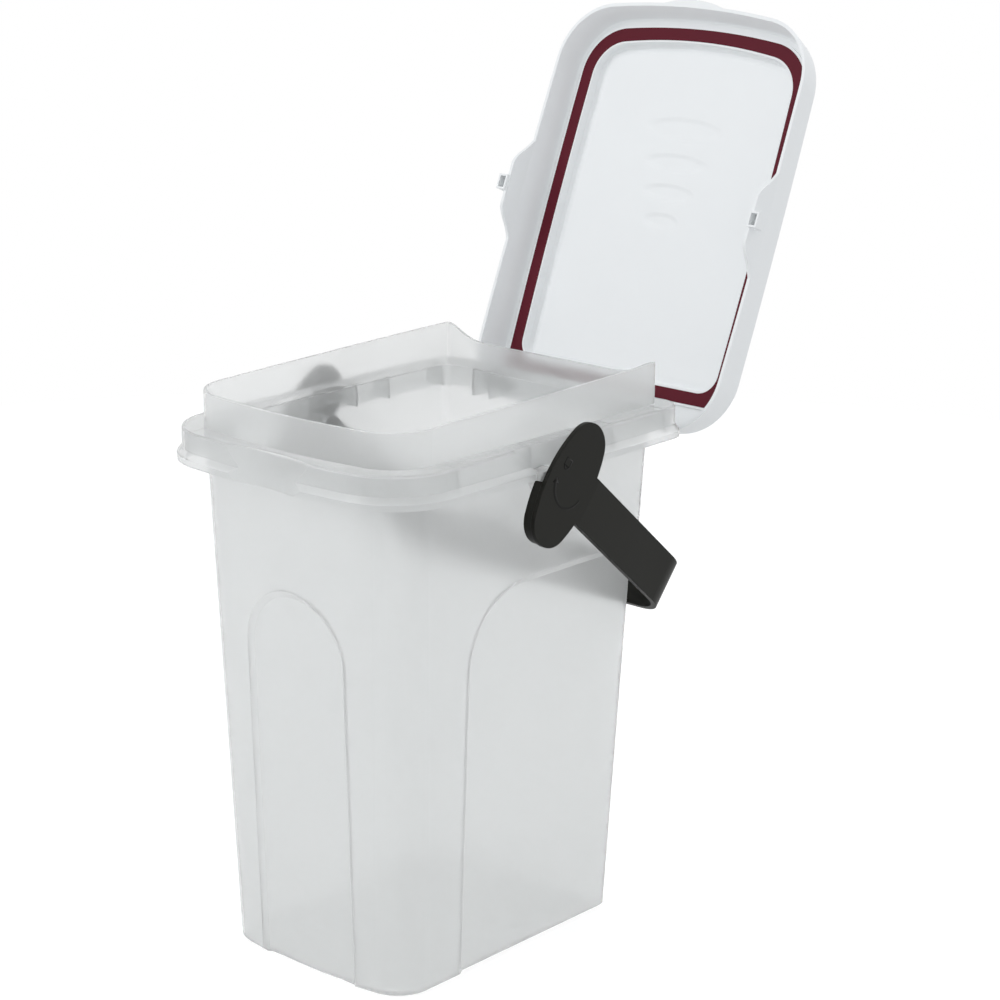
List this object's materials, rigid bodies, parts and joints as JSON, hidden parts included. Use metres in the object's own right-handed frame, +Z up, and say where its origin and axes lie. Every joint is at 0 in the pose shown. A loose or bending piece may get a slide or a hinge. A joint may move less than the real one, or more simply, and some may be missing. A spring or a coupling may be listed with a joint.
{
  "type": "pet food storage container",
  "caption": "Tapered bin for dry pet food with a hinged sealing lid, a finger notch at the front and a carrying handle whose side pads latch the lid.",
  "frame": {"origin": "centre of the underside of the tub, on the surface it stands on", "axes": "+Z up, -Y towards the finger notch at the front, +Y towards the hinge, X across"},
  "size_m": [0.232, 0.4299, 0.5875],
  "materials": {
    "translucent_body": "milky translucent polypropylene with a satin face",
    "white_lid": "white moulded polypropylene, satin",
    "seal_rubber": "dark wine-red soft seal, satin",
    "dark_handle": "dark olive-black moulded plastic, fine matt grain"
  },
  "bodies": {
    "tub": {"tub": "translucent_body"},
    "lid": {"lid": "white_lid", "seal": "seal_rubber"},
    "handle": {"handle": "dark_handle"}
  },
  "joints": [
    {"name": "lid_hinge", "type": "hinge", "parent": "tub", "child": "lid", "pos_m": [0, 0.14045, 0.33255], "axis": [1, 0, 0], "range_deg": [0, 113.2]},
    {"name": "handle_pivot", "type": "hinge", "parent": "tub", "child": "handle", "pos_m": [0, 0.0065, 0.32015], "axis": [1, 0, 0], "range_deg": [0, 30]}
  ]
}
